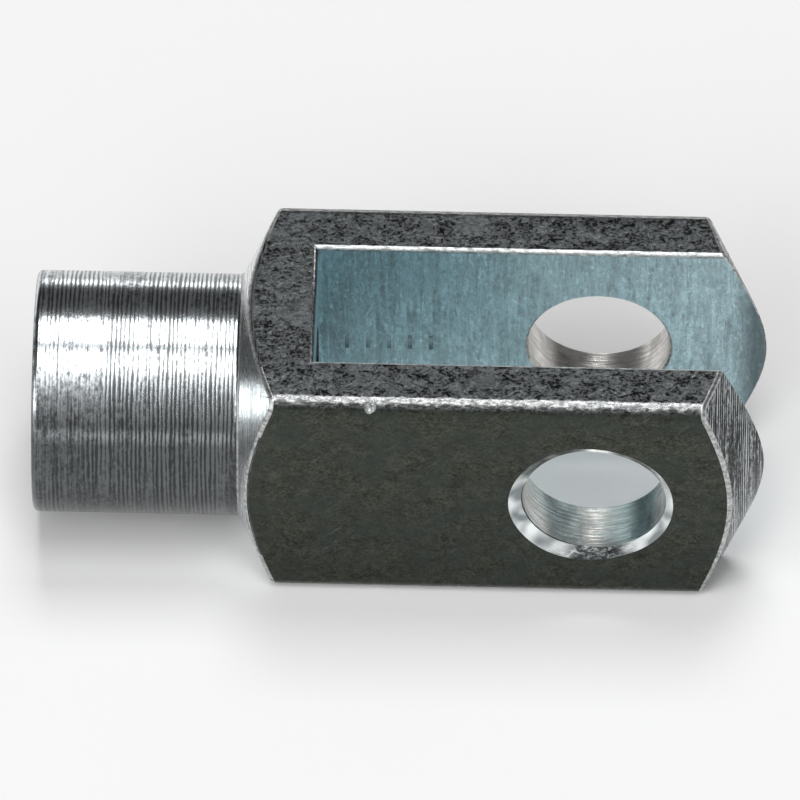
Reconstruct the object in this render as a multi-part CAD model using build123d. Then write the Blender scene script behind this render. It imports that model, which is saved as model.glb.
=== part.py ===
"""Clevis rod end: a fork machined in one piece from square bar.

The rear of the bar is turned down to a round neck with a tapped bore for the rod. The front is milled
into two ears with one cross bore for a pin. A turned cone ends the square on each side.

Millimetres and degrees. The origin is where the pin's axis crosses the rod's axis.
+X runs along the rod towards the open end of the fork, +Y along the pin, and +Z out of the slot.
"""
from build123d import *
from math import radians, sqrt, tan
import os

# Square bar
bar_width = 19.5
bar_edge_radius = 1.2

# Stations along the rod's axis
pin_to_fork_end = 12.1
pin_to_slot_root = 20.0
pin_to_neck_end = 40.0
slot_root_to_shoulder = 2.7

# Fork slot
slot_width = 10.8
slot_edge_break = 0.25

# Cross bore for the pin; the countersink's angle is measured from the pin's axis
pin_diameter = 10.0
pin_clearance = 0.2
pin_countersink_width = 0.75
pin_countersink_angle = 60.0
pin_inner_break = 0.15

# Turned neck
neck_diameter = 17.2
neck_end_break = 0.4
neck_root_fillet = 0.4

# Turned cones; each angle is measured from the plane square to the rod
rear_cone_angle = 27.0
front_cone_angle = 28.5
front_face_diameter = 10.6

# Tapped bore for the rod; the entry's angle is measured from the rod's axis
thread_diameter = 10.0
thread_pitch = 1.5
thread_entry_clearance = 0.5
thread_entry_angle = 45.0

# How far a cutter runs past the surface that it leaves by
overrun = 2.0

# Sizes that follow from the ones above
half_bar = bar_width / 2
half_slot = slot_width / 2
corner_radius = half_bar * sqrt(2)
clear_radius = corner_radius + overrun
neck_radius = neck_diameter / 2
front_face_radius = front_face_diameter / 2
pin_bore_radius = (pin_diameter + pin_clearance) / 2
tap_drill_radius = (thread_diameter - thread_pitch) / 2
thread_entry_radius = (thread_diameter + thread_entry_clearance) / 2
shoulder = -(pin_to_slot_root + slot_root_to_shoulder)


def square_bar():
    """The bar that the fork is cut from, with its four long edges rounded."""
    section = Plane.YZ.offset(-pin_to_neck_end) * RectangleRounded(bar_width, bar_width, bar_edge_radius)
    return extrude(section, pin_to_neck_end + pin_to_fork_end)


def turned_envelope():
    """What the lathe leaves of the bar: neck, rear cone, square middle and front cone."""
    rear_slope = tan(radians(rear_cone_angle))
    front_slope = tan(radians(front_cone_angle))
    neck_root = shoulder - (corner_radius - neck_radius) * rear_slope
    rear_rim = shoulder + (clear_radius - corner_radius) * rear_slope
    front_rim = pin_to_fork_end - (clear_radius - front_face_radius) * front_slope
    outline = Polyline(
        (-pin_to_neck_end, 0),
        (-pin_to_neck_end, neck_radius - neck_end_break),
        (-pin_to_neck_end + neck_end_break, neck_radius),
        (neck_root, neck_radius),
        (rear_rim, clear_radius),
        (front_rim, clear_radius),
        (pin_to_fork_end, front_face_radius),
        (pin_to_fork_end, 0),
        close=True,
    )
    profile = make_face(outline)
    root_corner = profile.vertices().sort_by_distance((neck_root, neck_radius))[0]
    profile = fillet(root_corner, neck_root_fillet)
    return revolve(Plane.XZ * profile, axis=Axis.X)


def slot_cutter():
    """The fork's slot, open in front, above and below, with its four long edges broken."""
    wall_top = half_bar - slot_edge_break
    flare_top = half_bar + overrun
    flare_side = half_slot + slot_edge_break + overrun
    outline = Polyline(
        (half_slot, -wall_top),
        (half_slot, wall_top),
        (flare_side, flare_top),
        (-flare_side, flare_top),
        (-half_slot, wall_top),
        (-half_slot, -wall_top),
        (-flare_side, -flare_top),
        (flare_side, -flare_top),
        close=True,
    )
    section = Plane.YZ.offset(-pin_to_slot_root) * make_face(outline)
    return extrude(section, pin_to_slot_root + pin_to_fork_end + overrun)


def pin_bore_cutter():
    """The cross bore, countersunk on both outer faces and broken where it meets the slot."""
    sink_spread = tan(radians(pin_countersink_angle))
    sink_depth = pin_countersink_width / sink_spread
    outline = Polyline(
        (0, 0),
        (pin_bore_radius + pin_inner_break, 0),
        (pin_bore_radius + pin_inner_break, half_slot),
        (pin_bore_radius, half_slot + pin_inner_break),
        (pin_bore_radius, half_bar - sink_depth),
        (pin_bore_radius + pin_countersink_width + overrun * sink_spread, half_bar + overrun),
        (0, half_bar + overrun),
        close=True,
    )
    half = revolve(make_face(outline), axis=Axis.Y)
    return half + mirror(half, about=Plane.XZ)


def rod_bore_cutter():
    """The bore for the rod's thread at its tapping size, through into the slot, with a coned entry."""
    entry_spread = tan(radians(thread_entry_angle))
    entry_depth = (thread_entry_radius - tap_drill_radius) / entry_spread
    outline = Polyline(
        (-pin_to_neck_end - overrun, 0),
        (-pin_to_neck_end - overrun, thread_entry_radius + overrun * entry_spread),
        (-pin_to_neck_end + entry_depth, tap_drill_radius),
        (-pin_to_slot_root + overrun, tap_drill_radius),
        (-pin_to_slot_root + overrun, 0),
        close=True,
    )
    return revolve(Plane.XZ * make_face(outline), axis=Axis.X)


def clevis_body():
    """The finished fork, one solid."""
    body = square_bar() & turned_envelope()
    body -= slot_cutter()
    body -= pin_bore_cutter()
    body -= rod_bore_cutter()
    return body


os.makedirs("parts", exist_ok=True)
export_step(clevis_body(), "parts/clevis_body.step")
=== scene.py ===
"""Clevis rod end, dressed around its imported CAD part.

The frame's origin is where the pin's axis crosses the rod's axis. +X runs along the rod towards the open end
of the fork, +Y along the pin, and +Z out of the slot. All lengths are in metres, but the patterns of the
finishes are laid out in millimetres.
"""

from math import atan2, cos, hypot, pi, radians, sin, sqrt, tan

import bpy
from bpy.props import FloatProperty, FloatVectorProperty, IntProperty, PointerProperty
from mathutils import Matrix, Vector


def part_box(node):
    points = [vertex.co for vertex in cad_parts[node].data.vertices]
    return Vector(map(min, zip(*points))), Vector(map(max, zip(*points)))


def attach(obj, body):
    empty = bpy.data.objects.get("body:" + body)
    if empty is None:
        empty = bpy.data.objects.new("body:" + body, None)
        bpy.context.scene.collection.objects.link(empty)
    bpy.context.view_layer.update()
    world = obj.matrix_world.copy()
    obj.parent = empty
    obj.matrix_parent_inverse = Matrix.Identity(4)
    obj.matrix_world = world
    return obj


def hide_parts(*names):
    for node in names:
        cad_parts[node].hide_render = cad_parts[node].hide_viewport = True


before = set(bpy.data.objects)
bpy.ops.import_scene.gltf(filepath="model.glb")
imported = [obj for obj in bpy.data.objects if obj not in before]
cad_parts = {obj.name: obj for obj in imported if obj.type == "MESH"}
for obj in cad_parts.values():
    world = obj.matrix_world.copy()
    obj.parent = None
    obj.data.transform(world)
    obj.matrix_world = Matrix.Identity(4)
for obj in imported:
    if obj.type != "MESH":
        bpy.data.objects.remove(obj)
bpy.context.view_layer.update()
FRAME_LOW, FRAME_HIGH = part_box("clevis_body")

bl_info = {
    "name": "Clevis Rod End",
    "version": (1, 0, 0),
    "blender": (4, 5, 0),
    "location": "3D View > Sidebar > Clevis",
    "description": "Models a forked rod end with its pin bore, tapped neck and plated finish",
    "category": "Object",
}

MM = 0.001

# How far a cutter runs past the surface that it leaves by
OVERRUN = 2 * MM

# Points nearer than this are merged, and points nearer than the second count as in line
MERGE = 1e-7
IN_LINE = 0.01 * MM

# Facets round each bore and each turn of the thread, and along each rounded form
BORE_STEPS = 128
THREAD_STEPS = 64
BAR_EDGE_STEPS = 12
EDGE_BREAK_STEPS = 3
NECK_END_STEPS = 4
NECK_ROOT_STEPS = 6

# The thread's height, and where the flats of its outline begin and end, as shares of its pitch
THREAD_HEIGHT = 0.5413
ROOT_FLAT_END, ROOT_FLAT_START = 0.125, 0.875
CREST_FLAT_START, CREST_FLAT_END = 0.4375, 0.5625

# The turns by which the thread's cutter runs past the bore's ends, and how near the points of its turns merge
THREAD_LEAD_TURNS = 2
THREAD_MERGE = 1e-6

# How deep the cutter of the thread's coned entry reaches
THREAD_ENTRY_DEPTH = 1.2 * MM

# Edges that turn by more than the first angle are broken, and faces that turn by less than the second
# are shaded as one
SHARP_TURN = radians(50)
SMOOTH_TURN = radians(32)

# A countersink's cutter reaches inwards by this many times the countersink's width
SINK_OVERCUT = 1.2

# Each countersink's shift off the bore's axis along X and Z, and the lobes that chatter leaves round it:
# how many there are, the angle of the first and their height
FRONT_SINK_SHIFT = (-0.24 * MM, -0.12 * MM)
FRONT_SINK_LOBES = ((5, 0.6, 0.03 * MM), (3, 2.0, 0.03 * MM))
BACK_SINK_SHIFT = (0.10 * MM, 0.05 * MM)
BACK_SINK_LOBES = ((5, 1.1, 0.02 * MM), (3, 0.4, 0.02 * MM))

# Each dent's place, its reach along X, Y and Z, and its turn about Y
DENTS = (
    ((-16.00 * MM, -9.60 * MM, 9.42 * MM), (0.34 * MM, 0.48 * MM, 0.56 * MM), 0.25),
    ((-15.62 * MM, -9.60 * MM, 9.36 * MM), (0.20 * MM, 0.36 * MM, 0.34 * MM), -0.4),
    ((-15.6 * MM, -9.62 * MM, -9.52 * MM), (0.45 * MM, 0.26 * MM, 0.26 * MM), 0.1),
)

# The marks that the tap's tip left on the slot's walls: their number, depth, width and start past the root
TAP_MARKS = 5
TAP_MARK_DEPTH = 0.05 * MM
TAP_MARK_WIDTH = 0.30 * MM
TAP_MARK_START = 1.85 * MM


# ---------------------------------------------------------------- sizes and colours

class ForkSizes(bpy.types.PropertyGroup):
    """Sizes of the fork."""

    bar_width: FloatProperty(
        name="Bar width", description="Width of the square bar", unit="LENGTH",
        default=FRAME_HIGH.y - FRAME_LOW.y)
    bar_edge_radius: FloatProperty(
        name="Bar edge radius", description="Radius of the bar's long edges", unit="LENGTH",
        default=1.05 * MM)
    pin_to_fork_end: FloatProperty(
        name="Pin to fork end", description="From the pin's axis to the open end", unit="LENGTH",
        default=12.1 * MM)
    pin_to_slot_root: FloatProperty(
        name="Pin to slot root", description="From the pin's axis to the root of the slot", unit="LENGTH",
        default=20 * MM)
    pin_to_neck_end: FloatProperty(
        name="Pin to neck end", description="From the pin's axis to the end of the neck", unit="LENGTH",
        default=-FRAME_LOW.x)
    slot_root_to_shoulder: FloatProperty(
        name="Slot root to shoulder", description="From the root of the slot to the square's rear corners",
        unit="LENGTH", default=2.7 * MM)
    slot_width: FloatProperty(
        name="Slot width", description="Width between the ears", unit="LENGTH", default=10.8 * MM)
    edge_break: FloatProperty(
        name="Edge break", description="Width of the broken outer edges", unit="LENGTH", default=0.24 * MM)
    pin_inner_break: FloatProperty(
        name="Pin bore inner break", description="Width of the bore's broken edges at the slot",
        unit="LENGTH", default=0.15 * MM)
    slot_edge_break: FloatProperty(
        name="Slot edge break", description="Width of the broken edges of the slot", unit="LENGTH",
        default=0.30 * MM)
    pin_bore_radius: FloatProperty(
        name="Pin bore radius", description="Radius of the cross bore", unit="LENGTH", default=5.1 * MM)
    sink_width: FloatProperty(
        name="Countersink width", description="Width of the countersink round the cross bore", unit="LENGTH",
        default=0.75 * MM)
    sink_angle: FloatProperty(
        name="Countersink angle", description="Slope of the countersink from the pin's axis",
        subtype="ANGLE", default=radians(60))
    neck_radius: FloatProperty(
        name="Neck radius", description="Radius of the turned neck", unit="LENGTH", default=8.6 * MM)
    neck_end_break: FloatProperty(
        name="Neck end break", description="Width of the break on the neck's end", unit="LENGTH",
        default=0.4 * MM)
    neck_root_fillet: FloatProperty(
        name="Neck root fillet", description="Radius where the neck meets the cone", unit="LENGTH",
        default=0.4 * MM)
    rear_cone_angle: FloatProperty(
        name="Rear cone angle", description="Slope of the rear cone from square to the rod",
        subtype="ANGLE", default=radians(27))
    front_cone_angle: FloatProperty(
        name="Front cone angle", description="Slope of the front cone from square to the rod",
        subtype="ANGLE", default=radians(28.5))
    front_face_radius: FloatProperty(
        name="Front face radius", description="Radius where the front cone ends", unit="LENGTH",
        default=5.3 * MM)
    thread_radius: FloatProperty(
        name="Thread radius", description="Outer radius of the tapped thread", unit="LENGTH", default=5 * MM)
    thread_pitch: FloatProperty(
        name="Thread pitch", description="Pitch of the tapped thread", unit="LENGTH", default=1.5 * MM)
    thread_entry_radius: FloatProperty(
        name="Thread entry radius", description="Radius of the coned entry to the thread", unit="LENGTH",
        default=5.25 * MM)
    turning_steps: IntProperty(
        name="Turning steps", description="Facets round each turned form", default=176, min=24)


class FinishColours(bpy.types.PropertyGroup):
    """Colours of the plated finishes."""

    # The drawn bar's colours sit far below the plating's own tone, its sides the darkest: painted shade for
    # the dark floor and room they reflect.
    drawn_top: FloatVectorProperty(
        name="Drawn top", description="Upper and lower plated faces of the drawn bar", subtype="COLOR",
        size=3, default=(0.088, 0.094, 0.097))
    drawn_side: FloatVectorProperty(
        name="Drawn sides", description="Side faces of the drawn bar", subtype="COLOR", size=3,
        default=(0.053, 0.057, 0.046))
    neck: FloatVectorProperty(
        name="Neck", description="Plated face of the turned neck", subtype="COLOR", size=3,
        default=(0.30, 0.32, 0.33))
    # The rear cone's colour is set near white, above the plating's own tone: painted highlight, for the light
    # it throws back by way of the neck.
    rear_cone: FloatVectorProperty(
        name="Rear cone", description="Plated face of the rear cone", subtype="COLOR", size=3,
        default=(0.86, 0.95, 0.96))
    # The front cone's colour is set far below it: painted shade. The two cones are lit and shaded copies of
    # one turned plating.
    front_cone: FloatVectorProperty(
        name="Front cone", description="Plated face of the front cone", subtype="COLOR", size=3,
        default=(0.090, 0.098, 0.101))
    milled: FloatVectorProperty(
        name="Milled faces", description="Plated faces of the slot", subtype="COLOR", size=3,
        default=(0.60, 0.80, 0.855))
    bored: FloatVectorProperty(
        name="Bored faces", description="Plated walls of the bores", subtype="COLOR", size=3,
        default=(0.74, 0.72, 0.69))
    sunk: FloatVectorProperty(
        name="Countersinks", description="Plated countersinks of the cross bore", subtype="COLOR", size=3,
        default=(0.64, 0.72, 0.74))
    # The corners', rims' and edges' bright tones are partly rubbed wear and partly painted highlight, set
    # well above the drawn faces' painted-dark tone.
    corner: FloatVectorProperty(
        name="Rounded corners", description="The bar's long rounded corners, rubbed bright", subtype="COLOR",
        size=3, default=(0.27, 0.277, 0.277))
    rim: FloatVectorProperty(
        name="Broken rims", description="Broken edges round the cones", subtype="COLOR", size=3,
        default=(0.50, 0.51, 0.505))
    edge: FloatVectorProperty(
        name="Broken edges", description="Broken edges, rubbed bright", subtype="COLOR", size=3,
        default=(0.58, 0.60, 0.60))
    floor: FloatVectorProperty(
        name="Floor", description="Floor under the part", subtype="COLOR", size=3,
        default=(0.88, 0.88, 0.88))


class StageSettings(bpy.types.PropertyGroup):
    """Camera and lamps."""

    azimuth: FloatProperty(
        name="Camera azimuth", description="Camera's turn about the vertical", subtype="ANGLE",
        default=radians(1.0))
    elevation: FloatProperty(
        name="Camera elevation", description="Camera's height above the horizon", subtype="ANGLE",
        default=radians(47.7))
    roll: FloatProperty(
        name="Camera roll", description="Camera's turn about its own axis", subtype="ANGLE",
        default=radians(0.46))
    distance: FloatProperty(
        name="Camera distance", description="From the camera to the pin", unit="LENGTH", default=1.4235)
    lens: FloatProperty(
        name="Lens", description="Focal length in millimetres", default=899.4)
    aim_along: FloatProperty(
        name="Aim along", description="How far the view's centre lies behind the pin", unit="LENGTH",
        default=14.045 * MM)
    aim_up: FloatProperty(
        name="Aim up", description="How far the view's centre lies above the pin", unit="LENGTH",
        default=0.142 * MM)


# ---------------------------------------------------------------- modelling by hand

def start_clear():
    """Leaves edit mode and deselects everything."""
    if bpy.context.object and bpy.context.object.mode != "OBJECT":
        bpy.ops.object.mode_set(mode="OBJECT")
    bpy.ops.object.select_all(action="DESELECT")


def make_active(obj):
    """Selects obj alone."""
    start_clear()
    obj.select_set(True)
    bpy.context.view_layer.objects.active = obj


def finish_mesh(name):
    """Names the active object, leaves its place in its mesh and turns its faces outwards."""
    obj = bpy.context.object
    if obj.mode != "EDIT":
        bpy.ops.object.mode_set(mode="EDIT")
    bpy.ops.mesh.select_all(action="SELECT")
    bpy.ops.mesh.remove_doubles(threshold=MERGE)
    bpy.ops.mesh.normals_make_consistent(inside=False)
    bpy.ops.object.mode_set(mode="OBJECT")
    bpy.ops.object.transform_apply(location=True, rotation=True, scale=True)
    obj.name = name
    obj.data.name = name
    return obj


def apply_modifier(obj, kind, **settings):
    """Adds one modifier to obj and applies it."""
    make_active(obj)
    modifier = obj.modifiers.new(kind.title(), kind)
    for key, value in settings.items():
        setattr(modifier, key, value)
    bpy.ops.object.modifier_apply(modifier=modifier.name)


def combine(obj, tool, operation):
    """Cuts obj with a tool body, which is then deleted."""
    apply_modifier(obj, "BOOLEAN", object=tool, operation=operation, solver="EXACT")
    mesh = tool.data
    bpy.data.objects.remove(tool)
    bpy.data.meshes.remove(mesh)


def lathe(name, stations, axis, steps):
    """A closed turned solid: a disc at the first station, extruded and scaled from station to station."""
    along = Vector((1, 0, 0)) if axis == "X" else Vector((0, 1, 0))
    turn = (0, pi / 2, 0) if axis == "X" else (-pi / 2, 0, 0)
    start_clear()
    place, radius = stations[0]
    bpy.ops.mesh.primitive_circle_add(
        vertices=steps, radius=radius, fill_type="NGON", location=along * place, rotation=turn)
    bpy.ops.object.transform_apply(location=True, rotation=True, scale=True)
    bpy.ops.object.mode_set(mode="EDIT")
    bpy.ops.mesh.select_all(action="SELECT")
    for next_place, next_radius in stations[1:]:
        bpy.ops.mesh.extrude_region_move(TRANSFORM_OT_translate={"value": along * (next_place - place)})
        grow = next_radius / radius
        value = (1, grow, grow) if axis == "X" else (grow, 1, grow)
        bpy.ops.transform.resize(value=value, center_override=along * next_place)
        place, radius = next_place, next_radius
    return finish_mesh(name)


def block(name, low, high):
    """A box from its lowest to its highest corner."""
    start_clear()
    low, high = Vector(low), Vector(high)
    bpy.ops.mesh.primitive_cube_add(size=1, location=(low + high) / 2)
    bpy.ops.object.mode_set(mode="EDIT")
    bpy.ops.mesh.select_all(action="SELECT")
    bpy.ops.transform.resize(value=high - low, center_override=(low + high) / 2)
    return finish_mesh(name)


def select_edges(obj, wanted):
    """Selects, in edit mode, the edges of obj for which wanted(edge) is true."""
    make_active(obj)
    bpy.ops.object.mode_set(mode="EDIT")
    bpy.ops.mesh.select_mode(type="EDGE")
    bpy.ops.mesh.select_all(action="DESELECT")
    bpy.ops.object.mode_set(mode="OBJECT")
    for edge in obj.data.edges:
        edge.select = bool(wanted(edge))
    bpy.ops.object.mode_set(mode="EDIT")


# ---------------------------------------------------------------- the fork's forms

def square_bar(size):
    """The drawn bar with its four long edges rounded."""
    half = size.bar_width / 2
    bar = block("bar", (-size.pin_to_neck_end, -half, -half), (size.pin_to_fork_end, half, half))
    points = bar.data.vertices
    select_edges(bar, lambda e: abs(points[e.vertices[0]].co.x - points[e.vertices[1]].co.x) > half)
    bpy.ops.mesh.bevel(
        offset=size.bar_edge_radius, offset_type="OFFSET", segments=BAR_EDGE_STEPS, profile=0.5)
    return finish_mesh("bar")


def turned_envelope(size):
    """What the lathe leaves: neck, rear cone, middle and front cone."""
    corner = size.bar_width / sqrt(2)
    clear = corner + OVERRUN
    neck = size.neck_radius
    end = -size.pin_to_neck_end
    shoulder = -size.pin_to_slot_root - size.slot_root_to_shoulder
    rear_slope = tan(size.rear_cone_angle)
    front_slope = tan(size.front_cone_angle)
    root = shoulder - (corner - neck) * rear_slope
    reach = size.neck_end_break
    stations = []
    for step in range(NECK_END_STEPS + 1):
        angle = pi / 2 * step / NECK_END_STEPS
        stations.append((end + reach * (1 - cos(angle)), neck - reach * (1 - sin(angle))))
    fillet = size.neck_root_fillet
    turn = pi / 2 - size.rear_cone_angle
    tangent = fillet * tan(turn / 2)
    for step in range(NECK_ROOT_STEPS + 1):
        angle = turn * step / NECK_ROOT_STEPS
        stations.append((root - tangent + fillet * sin(angle), neck + fillet * (1 - cos(angle))))
    stations.append((shoulder + (clear - corner) * rear_slope, clear))
    stations.append((size.pin_to_fork_end - (clear - size.front_face_radius) * front_slope, clear))
    stations.append((size.pin_to_fork_end, size.front_face_radius))
    return lathe("envelope", stations, "X", size.turning_steps)


def break_outer_edges(fork, size):
    """Rounds the fork's sharp outward edges, the slot's the widest, and leaves its inner corners crisp."""
    mesh = fork.data
    points = mesh.vertices
    half = size.bar_width / 2
    slot_half = size.slot_width / 2
    faces_at = {}
    for face in mesh.polygons:
        for key in face.edge_keys:
            faces_at.setdefault(key, []).append(face)

    def sharp_outwards(edge):
        faces = faces_at.get(edge.key, [])
        if len(faces) != 2:
            return False
        one, two = faces
        if one.normal.dot(two.normal) > cos(SHARP_TURN):
            return False
        return (two.center - one.center).dot(one.normal) < 0

    def on_slot(edge):
        one, two = (points[i].co for i in edge.vertices)
        level = abs(one.z - two.z) < IN_LINE and abs(abs(one.z) - half) < IN_LINE
        return level and max(abs(one.y), abs(two.y)) < slot_half + IN_LINE

    sharp = {edge.key for edge in mesh.edges if sharp_outwards(edge)}
    slot = {edge.key for edge in mesh.edges if edge.key in sharp and on_slot(edge)}
    width = size.slot_edge_break
    for keys, weight in ((slot, 1.0), (sharp - slot, size.edge_break / width)):
        select_edges(fork, lambda edge: edge.key in keys)
        bpy.ops.transform.edge_bevelweight(value=weight)
        bpy.ops.object.mode_set(mode="OBJECT")
    apply_modifier(
        fork, "BEVEL", width=width, segments=EDGE_BREAK_STEPS, limit_method="WEIGHT", profile=0.5,
        use_clamp_overlap=False, miter_outer="MITER_SHARP", loop_slide=True)


def pin_bore_tool(size):
    """The cross bore's cutter."""
    reach = size.bar_width / 2 + OVERRUN
    slot_half = size.slot_width / 2
    narrow, rim = size.pin_bore_radius, size.pin_inner_break
    stations = [(-reach, narrow), (-slot_half - rim, narrow), (-slot_half, narrow + rim),
                (slot_half, narrow + rim), (slot_half + rim, narrow), (reach, narrow)]
    return lathe("pin_bore", stations, "Y", BORE_STEPS)


def countersink_tool(size, side, shift, lobes):
    """A countersink's cutter on one side, set off the bore's axis, with the lobes that chatter leaves."""
    half = size.bar_width / 2
    spread = tan(size.sink_angle)
    wide = size.pin_bore_radius + size.sink_width
    inner = SINK_OVERCUT * size.sink_width
    stations = [(side * (half - inner / spread), wide - inner), (side * half, wide),
                (side * (half + OVERRUN), wide + OVERRUN * spread)]
    tool = lathe("countersink", stations, "Y", BORE_STEPS)
    shift_x, shift_z = shift
    for point in tool.data.vertices:
        angle = atan2(point.co.z, point.co.x)
        swell = sum(depth * cos(count * (angle - phase)) for count, phase, depth in lobes)
        reach = hypot(point.co.x, point.co.z)
        point.co.x += point.co.x / reach * swell + shift_x
        point.co.z += point.co.z / reach * swell + shift_z
    return tool


def thread_tool(size):
    """The tapped bore's cutter: one pitch of the thread's outline, screwed along the rod's axis."""
    pitch = size.thread_pitch
    crest = size.thread_radius
    root = crest - THREAD_HEIGHT * pitch
    start = -size.pin_to_neck_end - THREAD_LEAD_TURNS * pitch
    outline = [(0, root), (pitch * ROOT_FLAT_END, root), (pitch * CREST_FLAT_START, crest),
               (pitch * CREST_FLAT_END, crest), (pitch * ROOT_FLAT_START, root), (pitch, root)]
    start_clear()
    bpy.ops.mesh.primitive_plane_add(size=pitch, location=(0, 0, 0))
    obj = bpy.context.object
    bpy.ops.object.mode_set(mode="EDIT")
    bpy.ops.mesh.select_mode(type="VERT")
    bpy.ops.mesh.select_all(action="SELECT")
    bpy.ops.mesh.merge(type="CENTER")
    bpy.ops.transform.translate(value=(start, 0, root))
    for (x0, r0), (x1, r1) in zip(outline, outline[1:]):
        bpy.ops.mesh.extrude_region_move(TRANSFORM_OT_translate={"value": (x1 - x0, 0, r1 - r0)})
    bpy.ops.object.mode_set(mode="OBJECT")
    turns = int((size.pin_to_neck_end - size.pin_to_slot_root) / pitch) + 2 * THREAD_LEAD_TURNS
    apply_modifier(
        obj, "SCREW", axis="X", angle=2 * pi, steps=THREAD_STEPS, render_steps=THREAD_STEPS, iterations=turns,
        screw_offset=pitch, use_merge_vertices=False, use_normal_calculate=True)
    bpy.ops.object.mode_set(mode="EDIT")
    bpy.ops.mesh.select_all(action="SELECT")
    bpy.ops.mesh.remove_doubles(threshold=THREAD_MERGE)
    bpy.ops.mesh.select_all(action="DESELECT")
    bpy.ops.mesh.select_non_manifold()
    bpy.ops.mesh.fill_holes(sides=0)
    return finish_mesh("thread")


def thread_entry_tool(size):
    """The coned entry's cutter."""
    end = -size.pin_to_neck_end
    entry = size.thread_entry_radius
    deep = THREAD_ENTRY_DEPTH
    stations = [(end - OVERRUN, entry + OVERRUN), (end, entry), (end + deep, entry - deep)]
    return lathe("entry", stations, "X", BORE_STEPS)


def dent_tool(place, reach, turn):
    """A small blunt dent's cutter: a ball drawn out and turned."""
    start_clear()
    bpy.ops.mesh.primitive_ico_sphere_add(subdivisions=2, radius=1, location=(0, 0, 0))
    bpy.ops.object.mode_set(mode="EDIT")
    bpy.ops.mesh.select_all(action="SELECT")
    bpy.ops.transform.resize(value=reach, center_override=(0, 0, 0))
    bpy.ops.transform.rotate(value=turn, orient_axis="Y", center_override=(0, 0, 0))
    bpy.ops.transform.translate(value=place)
    return finish_mesh("dent")


def tap_mark_tool(size, count):
    """A disc that leaves one of the tap's marks on both walls of the slot."""
    radius = size.slot_width / 2 + TAP_MARK_DEPTH
    start = -size.pin_to_slot_root + TAP_MARK_START + count * size.thread_pitch
    return lathe("tap_mark", [(start, radius), (start + TAP_MARK_WIDTH, radius)], "X", BORE_STEPS)


def model_fork(size):
    """The whole fork as one closed mesh."""
    fork = square_bar(size)
    combine(fork, turned_envelope(size), "INTERSECT")
    half = size.bar_width / 2
    slot_half = size.slot_width / 2
    slot = block("slot", (-size.pin_to_slot_root, -slot_half, -half - OVERRUN),
                 (size.pin_to_fork_end + OVERRUN, slot_half, half + OVERRUN))
    combine(fork, slot, "DIFFERENCE")
    break_outer_edges(fork, size)
    combine(fork, pin_bore_tool(size), "DIFFERENCE")
    combine(fork, countersink_tool(size, -1, FRONT_SINK_SHIFT, FRONT_SINK_LOBES), "DIFFERENCE")
    combine(fork, countersink_tool(size, 1, BACK_SINK_SHIFT, BACK_SINK_LOBES), "DIFFERENCE")
    combine(fork, thread_tool(size), "DIFFERENCE")
    combine(fork, thread_entry_tool(size), "DIFFERENCE")
    for place, reach, turn in DENTS:
        combine(fork, dent_tool(place, reach, turn), "DIFFERENCE")
    for count in range(TAP_MARKS):
        combine(fork, tap_mark_tool(size, count), "DIFFERENCE")
    return fork


def smooth_fork(fork):
    """Shades the curved faces smooth and keeps the flats flat."""
    make_active(fork)
    bpy.ops.object.shade_smooth_by_angle(angle=SMOOTH_TURN)
    apply_modifier(fork, "WEIGHTED_NORMAL", weight=50, keep_sharp=True, mode="FACE_AREA")


# ---------------------------------------------------------------- finishes

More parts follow.
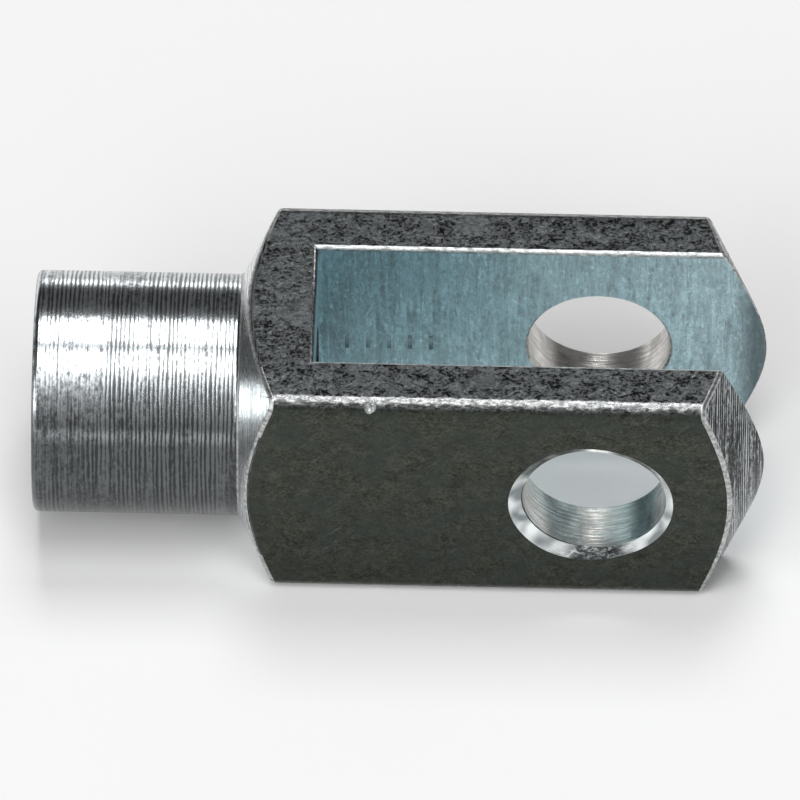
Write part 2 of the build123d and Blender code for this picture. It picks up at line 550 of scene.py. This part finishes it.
class Graph:
    """One finish: adds nodes to its material and links them as they come.

    place is where on the piece a point lies, in millimetres, and facing is how far its face looks up.
    """

    def __init__(self, name):
        self.material = bpy.data.materials.new(name)
        self.material.use_nodes = True
        self.tree = self.material.node_tree
        self.shader = self.tree.nodes["Principled BSDF"]
        coords = self.tree.nodes.new("ShaderNodeTexCoord")
        self.place = self.scaled(coords.outputs["Object"], (1 / MM, 1 / MM, 1 / MM))
        self.facing = self.node("ShaderNodeSeparateXYZ", {0: coords.outputs["Normal"]}, out="Z")

    def put(self, socket, value):
        """Links a socket, or sets its own value."""
        if isinstance(value, bpy.types.NodeSocket):
            self.tree.links.new(value, socket)
        else:
            socket.default_value = value

    def node(self, kind, inputs, out=0, **settings):
        """Adds one node and returns one of its outputs."""
        made = self.tree.nodes.new(kind)
        for key, value in settings.items():
            setattr(made, key, value)
        for key, value in inputs.items():
            self.put(made.inputs[key], value)
        return made.outputs[out]

    def scaled(self, vector, scale, turn=(0, 0, 0)):
        """Turns a pattern's coordinates, then scales them."""
        if any(turn):
            vector = self.node("ShaderNodeMapping", {"Vector": vector, "Rotation": turn})
        return self.node("ShaderNodeMapping", {"Vector": vector, "Scale": scale})

    def noise(self, scale, detail=2.0, turn=(0, 0, 0), rough=0.5, warp=0.0):
        """Noise with so many features to the millimetre along each axis."""
        vector = self.scaled(self.place, scale, turn)
        return self.node("ShaderNodeTexNoise", {"Vector": vector, "Scale": 1.0, "Detail": detail,
                                                "Roughness": rough, "Distortion": warp})

    def sum(self, one, two):
        return self.node("ShaderNodeMath", {0: one, 1: two}, operation="ADD")

    def product(self, one, two):
        return self.node("ShaderNodeMath", {0: one, 1: two}, operation="MULTIPLY")

    def span(self, value, low, high, to_low=0.0, to_high=1.0):
        """Maps low to high onto to_low to to_high, and stops there."""
        return self.node("ShaderNodeMapRange", {"Value": value, "From Min": low, "From Max": high,
                                                "To Min": to_low, "To Max": to_high}, clamp=True)

    def blend(self, share, one, two):
        """Mixes two colours, or two sockets that carry them."""
        one = (*one, 1) if not isinstance(one, bpy.types.NodeSocket) else one
        two = (*two, 1) if not isinstance(two, bpy.types.NodeSocket) else two
        return self.node("ShaderNodeMix", {0: share, 6: one, 7: two}, out=2, data_type="RGBA")

    def two_tone(self, pattern, low, high, colour, dark, light):
        """A colour that runs from a dark to a light shade of itself as a pattern runs from low to high."""
        return self.blend(self.span(pattern, low, high), shade(colour, dark), shade(colour, light))

    def bump(self, height, depth, strength=1.0):
        """A relief so many millimetres deep."""
        return self.node("ShaderNodeBump", {"Height": height, "Distance": depth * MM, "Strength": strength})

    def finish(self, colour, roughness, relief):
        """Ends a bare metal finish and returns its material."""
        self.put(self.shader.inputs["Base Color"], colour)
        self.put(self.shader.inputs["Metallic"], 1.0)
        self.put(self.shader.inputs["Roughness"], roughness)
        self.put(self.shader.inputs["Normal"], relief)
        return self.material


def shade(colour, factor):
    """A colour made darker or lighter."""
    return tuple(min(1.0, part * factor) for part in colour)


def scratch_lines(g, turn, shift, density):
    """Thin straight scratches at one angle, broken up along their length."""
    drawn_out = g.scaled(g.place, (0.10, 6.0, 6.0), turn)
    vector = g.node("ShaderNodeVectorMath", {0: drawn_out, 1: (shift, shift, 0)}, operation="ADD")
    lines = g.node("ShaderNodeTexNoise", {"Vector": vector, "Scale": 1.0, "Detail": 1.0, "Distortion": 1.2})
    thin = g.span(lines, density, density + 0.04)
    parts = g.span(g.noise((0.22, 0.22, 0.22), 2.0, turn=(shift, 0, 0)), 0.50, 0.58)
    return g.product(thin, parts)


def drawn_finish(top, side):
    """Plated faces of the drawn bar, toned far below the plating with painted shade: speckled above and
    below, the bright specks painted glints, and darker and smoother on its sides.
    """
    g = Graph("drawn_zinc")
    level = g.span(g.node("ShaderNodeMath", {0: g.facing}, operation="ABSOLUTE"), 0.45, 0.85)
    specks = g.noise((3.6, 4.6, 4.6), 5.0, rough=0.85)
    blots = g.noise((1.3, 1.7, 1.7), 4.0, rough=0.65, warp=0.6)
    patches = g.noise((0.30, 0.42, 0.42), 3.0)
    frost = g.span(g.noise((0.16, 0.24, 0.24), 3.0, rough=0.6), 0.56, 0.66)
    mottle = g.sum(g.product(specks, 0.62), g.product(blots, 0.38))
    rising = scratch_lines(g, turn=(0.9, 0.6, 0.5), shift=3.0, density=0.68)
    falling = scratch_lines(g, turn=(0.6, -0.9, -0.8), shift=9.0, density=0.69)
    scratches = g.sum(rising, falling)
    # The top and bottom faces' bright specks and frost stand in for glints of the lamps off the plating's
    # grain: painted glints over its own mottle.
    above = g.two_tone(mottle, 0.45, 0.57, top, dark=0.08, light=2.9)
    above = g.blend(g.product(frost, 0.6), above, shade(top, 1.7))
    below = g.two_tone(mottle, 0.40, 0.62, side, dark=0.42, light=1.60)
    bluer = (side[0] * 0.85, side[1] * 0.95, side[2] * 1.05)
    below = g.blend(g.span(patches, 0.42, 0.60, to_high=0.6), below, bluer)
    # Faces that look up or down take the lighter speckled tone and the sides the darker one: painted light
    # and shade on one plating.
    tone = g.blend(level, below, above)
    tone = g.blend(g.product(scratches, 0.20), tone, shade(top, 2.6))
    roughness = g.sum(g.span(mottle, 0.40, 0.60, to_low=0.36, to_high=0.25), g.product(frost, 0.08))
    relief = g.bump(g.sum(g.product(mottle, 0.6), g.product(scratches, -0.15)), 0.035)
    return g.finish(tone, roughness, relief)


def turned_finish(name, colour, pitch, depth, rough_low, rough_high, dark, light, soft, bias=0.0, under=0.0):
    """Plated faces left by the lathe: rings at the feed's pitch, of unlike width, brightness and polish.

    soft is how gently dark turns to light, bias moves their border towards the dark, and under is how much
    painted shade darkens the faces that look down.
    """
    g = Graph(name)
    rate = 1 / pitch
    along = g.node("ShaderNodeSeparateXYZ", {0: g.place})
    drift = g.noise((rate * 0.5, 0.16, 0.16), 4.0, rough=0.7)
    phase = g.sum(g.product(along, 2 * pi * rate), g.product(drift, 9.0))
    feed = g.span(g.node("ShaderNodeMath", {0: phase}, operation="SINE"), -1.0, 1.0)
    rings = g.noise((rate * 1.2, 0.08, 0.08), 4.0, rough=0.8)
    broad = g.noise((rate * 0.12, 0.10, 0.10), 3.0)
    breaks = g.noise((rate, 1.9, 1.9), 5.0, rough=0.8)
    strong = g.span(broad, 0.44, 0.62, to_high=0.30)
    even = g.product(g.sum(feed, -0.5), strong)
    uneven = g.sum(g.product(rings, 0.52), g.product(breaks, 0.48))
    lines = g.sum(even, uneven)
    # The rings' strong dark and light tones are partly the feed marks' own and partly painted reflection,
    # standing in for the streaks the lamps give off their grooves.
    tone = g.two_tone(lines, 0.5 - soft + bias, 0.5 + soft + bias, colour, dark, light)
    # Painted shade: the faces that look down are darkened towards a dark copy of the colour.
    underside_painted_shade = g.span(g.facing, 0.36, 0.60, to_low=under, to_high=0.0)
    tone = g.blend(underside_painted_shade, tone, shade(colour, 0.13))
    roughness = g.span(lines, 0.36, 0.64, to_low=rough_high, to_high=rough_low)
    relief = g.bump(lines, depth)
    return g.finish(tone, roughness, relief)


def slot_finish(colour, tip):
    """Plated faces of the slot: a milling cutter's upright marks, torn and speckled, with painted shade at
    the ears' tip.

    tip is where the ears end along the rod, in millimetres.
    """
    g = Graph("milled_slot_zinc")
    marks = g.noise((2.0, 0.30, 0.22), 4.0, rough=0.7, warp=0.8)
    torn = g.noise((3.0, 1.8, 1.9), 5.0, rough=0.82, warp=0.7)
    patches = g.noise((0.45, 0.3, 0.5), 3.0, rough=0.6)
    lines = g.sum(g.product(marks, 0.45), g.product(torn, 0.55))
    tone = g.two_tone(lines, 0.38, 0.59, colour, dark=0.52, light=1.16)
    tone = g.blend(g.span(patches, 0.42, 0.68, to_high=0.35), tone, shade(colour, 0.66))
    along = g.node("ShaderNodeSeparateXYZ", {0: g.place})
    # Painted shade: the slot's faces darken towards the ears' tip.
    tone = g.blend(g.span(along, tip - 2.8, tip - 1.0, to_high=0.85), tone, shade(colour, 0.18))
    roughness = g.span(lines, 0.35, 0.65, to_low=0.44, to_high=0.18)
    relief = g.bump(lines, 0.24, strength=g.span(along, -6.0, tip - 4.0, to_low=0.5))
    return g.finish(tone, roughness, relief)


def bore_finish(name, colour):
    """Plated walls of a bore: fine rings round its axis and darker stains."""
    g = Graph(name)
    rings = g.noise((0.25, 6.0, 0.25), 3.0, rough=0.7)
    stains = g.noise((0.35, 0.2, 0.35), 3.0, rough=0.6, warp=0.6)
    tone = g.two_tone(rings, 0.36, 0.64, colour, dark=0.7, light=1.25)
    tone = g.blend(g.span(stains, 0.44, 0.62, to_high=0.75), tone, shade(colour, 0.35))
    roughness = g.span(rings, 0.35, 0.65, to_low=0.36, to_high=0.2)
    relief = g.bump(rings, 0.02)
    return g.finish(tone, roughness, relief)


def sink_finish(colour, low):
    """Plated countersink: polished rings broken by chatter, with speckled painted shade round low, a place in
    millimetres.
    """
    g = Graph("countersunk_zinc")
    rings = g.noise((0.30, 5.0, 0.30), 3.0, rough=0.6)
    facets = g.noise((0.40, 0.40, 0.40), 1.5, rough=0.5, warp=0.3)
    tone = g.two_tone(facets, 0.40, 0.58, colour, dark=0.40, light=1.5)
    away = g.node("ShaderNodeVectorMath", {0: g.place, 1: low}, out="Value", operation="DISTANCE")
    spots = g.span(g.noise((1.6, 2.4, 1.6), 4.0, rough=0.75), 0.42, 0.52, to_low=0.45)
    # Painted shade: a dark speckled patch round low, at the countersink's lower side.
    painted_shade_round_low = g.product(g.span(away, 1.5, 3.2, to_low=0.95, to_high=0.0), spots)
    tone = g.blend(painted_shade_round_low, tone, shade(colour, 0.05))
    roughness = g.span(rings, 0.35, 0.65, to_low=0.24, to_high=0.12)
    return g.finish(tone, roughness, g.bump(g.sum(g.product(rings, 0.4), facets), 0.10))


def edge_finish(name, colour, rough_low, rough_high, fade=0.0):
    """Outer edges bright partly from rubbed wear and partly as painted highlight, a little uneven, and, with
    fade, darkened by painted shade broken into grit where they turn down.
    """
    g = Graph(name)
    wear = g.noise((1.8, 3.2, 3.2), 5.0, rough=0.75)
    tone = g.two_tone(wear, 0.38, 0.60, colour, dark=0.42, light=1.25)
    # With fade, the lower part of a rounded corner, where it turns down, is darkened with painted shade
    # broken up into grit.
    if fade:
        turned_down_painted_shade = g.span(g.facing, 0.80, 0.955, to_low=fade, to_high=0.0)
        painted_shade_grit = g.span(wear, 0.46, 0.60, to_low=1.0, to_high=0.35)
        tone = g.blend(g.product(turned_down_painted_shade, painted_shade_grit), tone, shade(colour, 0.10))
    roughness = g.span(wear, 0.35, 0.65, to_low=rough_high, to_high=rough_low)
    return g.finish(tone, roughness, g.bump(wear, 0.04))


# A face within the first length of a cut wall is on it, and one beyond the second is past the slot's wall
NEAR = 0.02 * MM
PAST_WALL = 0.002 * MM

# How far the faces of the small cuts reach: from a dent's centre, past the slot's wall and from its root
DENT_REACH = 0.7 * MM
TAP_MARK_REACH = 0.06 * MM
TAP_MARKS_END = 10 * MM

# A countersink's faces lie within so many of its widths round the bore, and so deep below the bar's side
SINK_REACH = 2.2
SINK_DEPTH = 1.2 * MM

# The neck's faces start so far behind the square's rear corners, and its end's faces lie so near its end
NECK_CLEAR = 1 * MM
NECK_END_DEPTH = 0.6 * MM

# The ears' broken edges lie within this much of the slot's walls, and the bar's rounded corners farther out
EDGE_REACH = 1 * MM

# The parts of a face's unit normal along one axis that tell one kind of face from the next
SQUARE_ON = 0.95
ON_FLAT = 0.993
ON_CONE = 0.8
LEANS_ALONG = 0.05
FACES_UP = 0.72
BORE_LEAN = 0.1
SINK_LEAN_LOW, SINK_LEAN_HIGH = 0.2, 0.98
SLOT_LEAN = 0.3
NECK_LEAN = 0.5


def finish_of(face, size):
    """Which finish a face has, by its place and the way it faces."""
    c, n = face.center, face.normal
    half = size.bar_width / 2
    slot_half = size.slot_width / 2
    root = -size.pin_to_slot_root
    neck_end = -size.pin_to_neck_end
    from_rod = hypot(c.y, c.z)
    from_pin = hypot(c.x, c.z)
    in_slot = abs(c.y) < slot_half + NEAR
    past_wall = abs(c.y) > slot_half + PAST_WALL
    if any((c - Vector(place)).length < DENT_REACH for place, _, _ in DENTS):
        return "edge"
    if from_rod < slot_half + TAP_MARK_REACH and past_wall and root < c.x < root + TAP_MARKS_END:
        return "graze"
    if c.x < root and from_rod < size.thread_entry_radius + NEAR and abs(n.x) < SQUARE_ON:
        return "thread"
    if from_pin < size.pin_bore_radius + NEAR and abs(c.y) > slot_half - NEAR and abs(n.y) < BORE_LEAN:
        return "bore"
    round_bore = from_pin < size.pin_bore_radius + SINK_REACH * size.sink_width
    if round_bore and abs(c.y) > half - SINK_DEPTH and SINK_LEAN_LOW < abs(n.y) < SINK_LEAN_HIGH:
        return "sink"
    if in_slot and abs(n.z) < SLOT_LEAN and (abs(n.y) > SQUARE_ON or n.x > SQUARE_ON):
        return "slot"
    if c.x < root - size.slot_root_to_shoulder - NECK_CLEAR and abs(n.x) < NECK_LEAN:
        return "neck"
    if c.x < neck_end + NECK_END_DEPTH:
        return "neck"
    if abs(n.x) > ON_CONE:
        return "rear_cone" if n.x < 0 else "front_cone"
    if max(abs(n.x), abs(n.y), abs(n.z)) < ON_FLAT:
        if n.x > LEANS_ALONG and c.x < root + NEAR:
            return "corner"
        if abs(n.x) > LEANS_ALONG:
            return "rim"
        if min(abs(c.y), abs(c.z)) < slot_half + EDGE_REACH:
            return "edge"
        if abs(n.z) > FACES_UP:
            return "corner"
    return "drawn"


def fork_finishes(size, colour):
    """The fork's finishes, in the order of its material slots."""
    tip = size.pin_to_fork_end / MM
    front = -size.bar_width / MM / 2
    return {
        "drawn": drawn_finish(colour.drawn_top, colour.drawn_side),
        # The neck's under paints shade on its lower side.
        "neck": turned_finish(
            "turned_neck_zinc", colour.neck, pitch=0.31, depth=0.012, rough_low=0.14, rough_high=0.26,
            dark=0.36, light=2.3, soft=0.065, under=0.85),
        "rear_cone": turned_finish(
            "rear_cone_zinc", colour.rear_cone, pitch=0.13, depth=0.012, rough_low=0.18, rough_high=0.32,
            dark=0.5, light=1.5, soft=0.10),
        # The front cone's wide dark-to-light spread is partly its turning lines' tone and partly painted
        # reflection.
        "front_cone": turned_finish(
            "front_cone_zinc", colour.front_cone, pitch=0.15, depth=0.070, rough_low=0.16, rough_high=0.36,
            dark=0.05, light=4.8, soft=0.04, bias=0.04),
        "slot": slot_finish(colour.milled, tip),
        "bore": bore_finish("bored_zinc", colour.bored),
        "sink": sink_finish(colour.sunk, low=(0.2, front, -5.8)),
        "thread": bore_finish("tapped_zinc", shade(colour.bored, 0.5)),
        "graze": bore_finish("grazed_slot_zinc", shade(colour.milled, 0.52)),
        # The corner's fade paints shade on its lower half.
        "corner": edge_finish("rounded_corner_zinc", colour.corner, 0.14, 0.26, fade=0.95),
        "rim": edge_finish("broken_rim_zinc", colour.rim, 0.26, 0.42),
        "edge": edge_finish("broken_edge_zinc", colour.edge, 0.26, 0.44),
    }


class CLEVIS_OT_build_fork(bpy.types.Operator):
    """Model the fork with its bores, thread and plated finishes"""

    bl_idname = "clevis.build_fork"
    bl_label = "Build Fork"

    def execute(self, context):
        size = context.scene.fork_sizes
        fork = model_fork(size)
        smooth_fork(fork)
        fork.name = "clevis_fork"
        fork.data.name = "clevis_fork"
        finishes = fork_finishes(size, context.scene.finish_colours)
        fork.data.materials.clear()
        for material in finishes.values():
            fork.data.materials.append(material)
        order = list(finishes)
        for face in fork.data.polygons:
            face.material_index = order.index(finish_of(face, size))
        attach(fork, "root")
        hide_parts("clevis_body")
        return {"FINISHED"}


# ---------------------------------------------------------------- stage

FLOOR_WIDTH = 8
LAMP_DISTANCE = 1.2

# Each lamp's name, the way to it from the part, its width and height in degrees, and its radiance
LAMPS = (
    ("softbox_over_back", (0, sin(radians(18)), cos(radians(18))), 20, 24, 7.2),
    ("softbox_over_front", (0, -sin(radians(13)), cos(radians(13))), 20, 20, 6.5),
    ("fan_left", (-0.36, -0.65, 0.67), 24, 44, 2.4),
    ("fan_right", (0.36, -0.65, 0.67), 24, 44, 1.7),
    ("spot_left", (-0.81, -0.44, 0.36), 18, 24, 6.0),
    ("strip_low_back", (0, 1, 0.06), 40, 8, 1.9),
)

# The room's light in front of the part and behind it, and where along Y the one turns into the other
ROOM_FRONT, ROOM_BACK = 0.22, 0.09
ROOM_TURNS_FROM, ROOM_TURNS_TO = -0.6, 0.25

# The height at which the white horizon starts to turn into the room's light, and where it has done so
HORIZON_FROM, HORIZON_TO = 0.08, 0.20

# The camera's sensor, in millimetres, and how near and how far it sees
SENSOR_WIDTH = 36
SIGHT_NEAR, SIGHT_FAR = 0.05, 20


def add_softbox(name, towards, width, height, radiance):
    """A flat square lamp that faces the part, out of the camera's sight."""
    data = bpy.data.lights.new(name, "AREA")
    data.shape = "RECTANGLE"
    data.size = 2 * LAMP_DISTANCE * tan(width / 2)
    data.size_y = 2 * LAMP_DISTANCE * tan(height / 2)
    data.energy = radiance * pi * data.size * data.size_y
    lamp = bpy.data.objects.new(name, data)
    bpy.context.scene.collection.objects.link(lamp)
    lamp.visible_camera = False
    turn = towards.to_track_quat("Z", "Y").to_matrix().to_4x4()
    lamp.matrix_world = Matrix.Translation(towards * LAMP_DISTANCE) @ turn


def build_floor(colour):
    """The plain pale floor that the part lies on."""
    start_clear()
    bpy.ops.mesh.primitive_plane_add(size=FLOOR_WIDTH, location=(0, 0, FRAME_LOW.z))
    floor = finish_mesh("floor")
    g = Graph("pale_floor")
    g.put(g.shader.inputs["Base Color"], (*colour, 1))
    g.put(g.shader.inputs["Roughness"], 0.9)
    g.put(g.shader.inputs["Specular IOR Level"], 0.0)
    floor.data.materials.append(g.material)


def build_room(scene):
    """The room's own light, which fills in between the lamps."""
    world = bpy.data.worlds.new("studio")
    scene.world = world
    world.use_nodes = True
    tree = world.node_tree

    def ramp(coordinate, start, end, low, high):
        made = tree.nodes.new("ShaderNodeMapRange")
        made.interpolation_type = "SMOOTHSTEP"
        made.inputs["From Min"].default_value = start
        made.inputs["From Max"].default_value = end
        made.inputs["To Min"].default_value = low
        made.inputs["To Max"].default_value = high
        tree.links.new(coordinate, made.inputs["Value"])
        return made.outputs[0]

    coords = tree.nodes.new("ShaderNodeTexCoord")
    axes = tree.nodes.new("ShaderNodeSeparateXYZ")
    tree.links.new(coords.outputs["Generated"], axes.inputs[0])
    room = ramp(axes.outputs["Y"], ROOM_TURNS_FROM, ROOM_TURNS_TO, ROOM_FRONT, ROOM_BACK)
    share = ramp(axes.outputs["Z"], HORIZON_FROM, HORIZON_TO, 0.0, 1.0)
    mix = tree.nodes.new("ShaderNodeMix")
    tree.links.new(share, mix.inputs["Factor"])
    mix.inputs["A"].default_value = 1.0
    tree.links.new(room, mix.inputs["B"])
    tree.links.new(mix.outputs[0], tree.nodes["Background"].inputs["Color"])


def build_camera(scene, stage):
    """The camera, turned towards its aim beside the pin."""
    azimuth, elevation = stage.azimuth, stage.elevation
    away = Vector((sin(azimuth) * cos(elevation), -cos(azimuth) * cos(elevation), sin(elevation)))
    level = Vector((cos(azimuth), sin(azimuth), 0))
    upright = away.cross(level)
    right = level * cos(stage.roll) + upright * sin(stage.roll)
    up = upright * cos(stage.roll) - level * sin(stage.roll)
    place = away * stage.distance
    aim = up * stage.aim_up - right * stage.aim_along
    out = (place - aim).normalized()
    right = up.cross(out).normalized()
    up = out.cross(right)
    turn = Matrix((right, up, out)).transposed().to_4x4()
    data = bpy.data.cameras.new("camera")
    data.sensor_width = SENSOR_WIDTH
    data.lens = stage.lens
    data.clip_start, data.clip_end = SIGHT_NEAR, SIGHT_FAR
    camera = bpy.data.objects.new("camera", data)
    scene.collection.objects.link(camera)
    camera.matrix_world = Matrix.Translation(place) @ turn
    scene.camera = camera


class CLEVIS_OT_build_stage(bpy.types.Operator):
    """Set the floor, the lamps and the camera"""

    bl_idname = "clevis.build_stage"
    bl_label = "Build Stage"

    def execute(self, context):
        scene = context.scene
        build_floor(scene.finish_colours.floor)
        for name, towards, width, height, radiance in LAMPS:
            add_softbox(name, Vector(towards).normalized(), radians(width), radians(height), radiance)
        build_room(scene)
        build_camera(scene, scene.stage_settings)
        scene.view_settings.view_transform = "Standard"
        return {"FINISHED"}


class CLEVIS_PT_panel(bpy.types.Panel):
    """Builds the rod end and its stage."""

    bl_idname = "CLEVIS_PT_panel"
    bl_label = "Clevis Rod End"
    bl_space_type = "VIEW_3D"
    bl_region_type = "UI"
    bl_category = "Clevis"

    def draw(self, context):
        for group in (context.scene.fork_sizes, context.scene.finish_colours, context.scene.stage_settings):
            box = self.layout.box()
            for key in group.__annotations__:
                box.prop(group, key)
        self.layout.operator(CLEVIS_OT_build_fork.bl_idname)
        self.layout.operator(CLEVIS_OT_build_stage.bl_idname)


CLASSES = (
    ForkSizes, FinishColours, StageSettings, CLEVIS_OT_build_fork, CLEVIS_OT_build_stage, CLEVIS_PT_panel)


def register():
    for cls in CLASSES:
        bpy.utils.register_class(cls)
    bpy.types.Scene.fork_sizes = PointerProperty(type=ForkSizes)
    bpy.types.Scene.finish_colours = PointerProperty(type=FinishColours)
    bpy.types.Scene.stage_settings = PointerProperty(type=StageSettings)


def unregister():
    del bpy.types.Scene.fork_sizes
    del bpy.types.Scene.finish_colours
    del bpy.types.Scene.stage_settings
    for cls in reversed(CLASSES):
        bpy.utils.unregister_class(cls)


def main():
    register()
    bpy.ops.clevis.build_fork()
    bpy.ops.clevis.build_stage()


if __name__ == "__main__":
    main()
